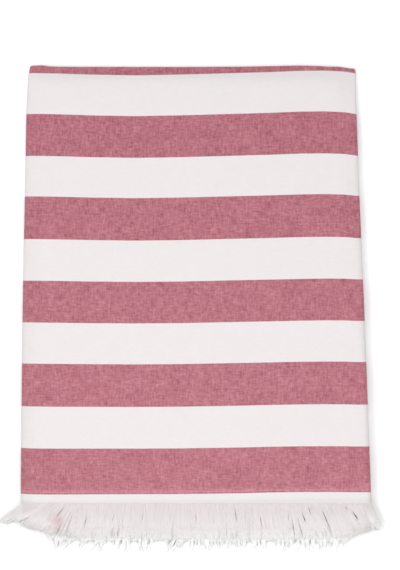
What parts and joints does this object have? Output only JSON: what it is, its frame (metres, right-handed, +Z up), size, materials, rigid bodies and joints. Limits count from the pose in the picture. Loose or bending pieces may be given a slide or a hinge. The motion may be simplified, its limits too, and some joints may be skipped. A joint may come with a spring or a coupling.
{
  "type": "folded beach towel",
  "caption": "Flat-woven striped beach towel with a yarn fringe at each end, folded lengthways and in thirds, lying flat.",
  "frame": {"origin": "under the middle of the folded towel and its fringes, on the surface that it lies on", "axes": "+Y towards the top fold and away from the fringes, +X to the right of the front face, +Z up out of the front face"},
  "size_m": [0.3633, 0.4666, 0.0164],
  "materials": {
    "cloth": "matt flat-woven cotton, wide red and white stripes across, the red a white-flecked chambray, a red border and a narrow white band at each end",
    "yarn": "matt loose white cotton warp yarn, unknotted"
  },
  "bodies": {
    "root": {"towel": "cloth", "fringe_outer": "yarn", "fringe_inner": "yarn"}
  },
  "joints": []
}
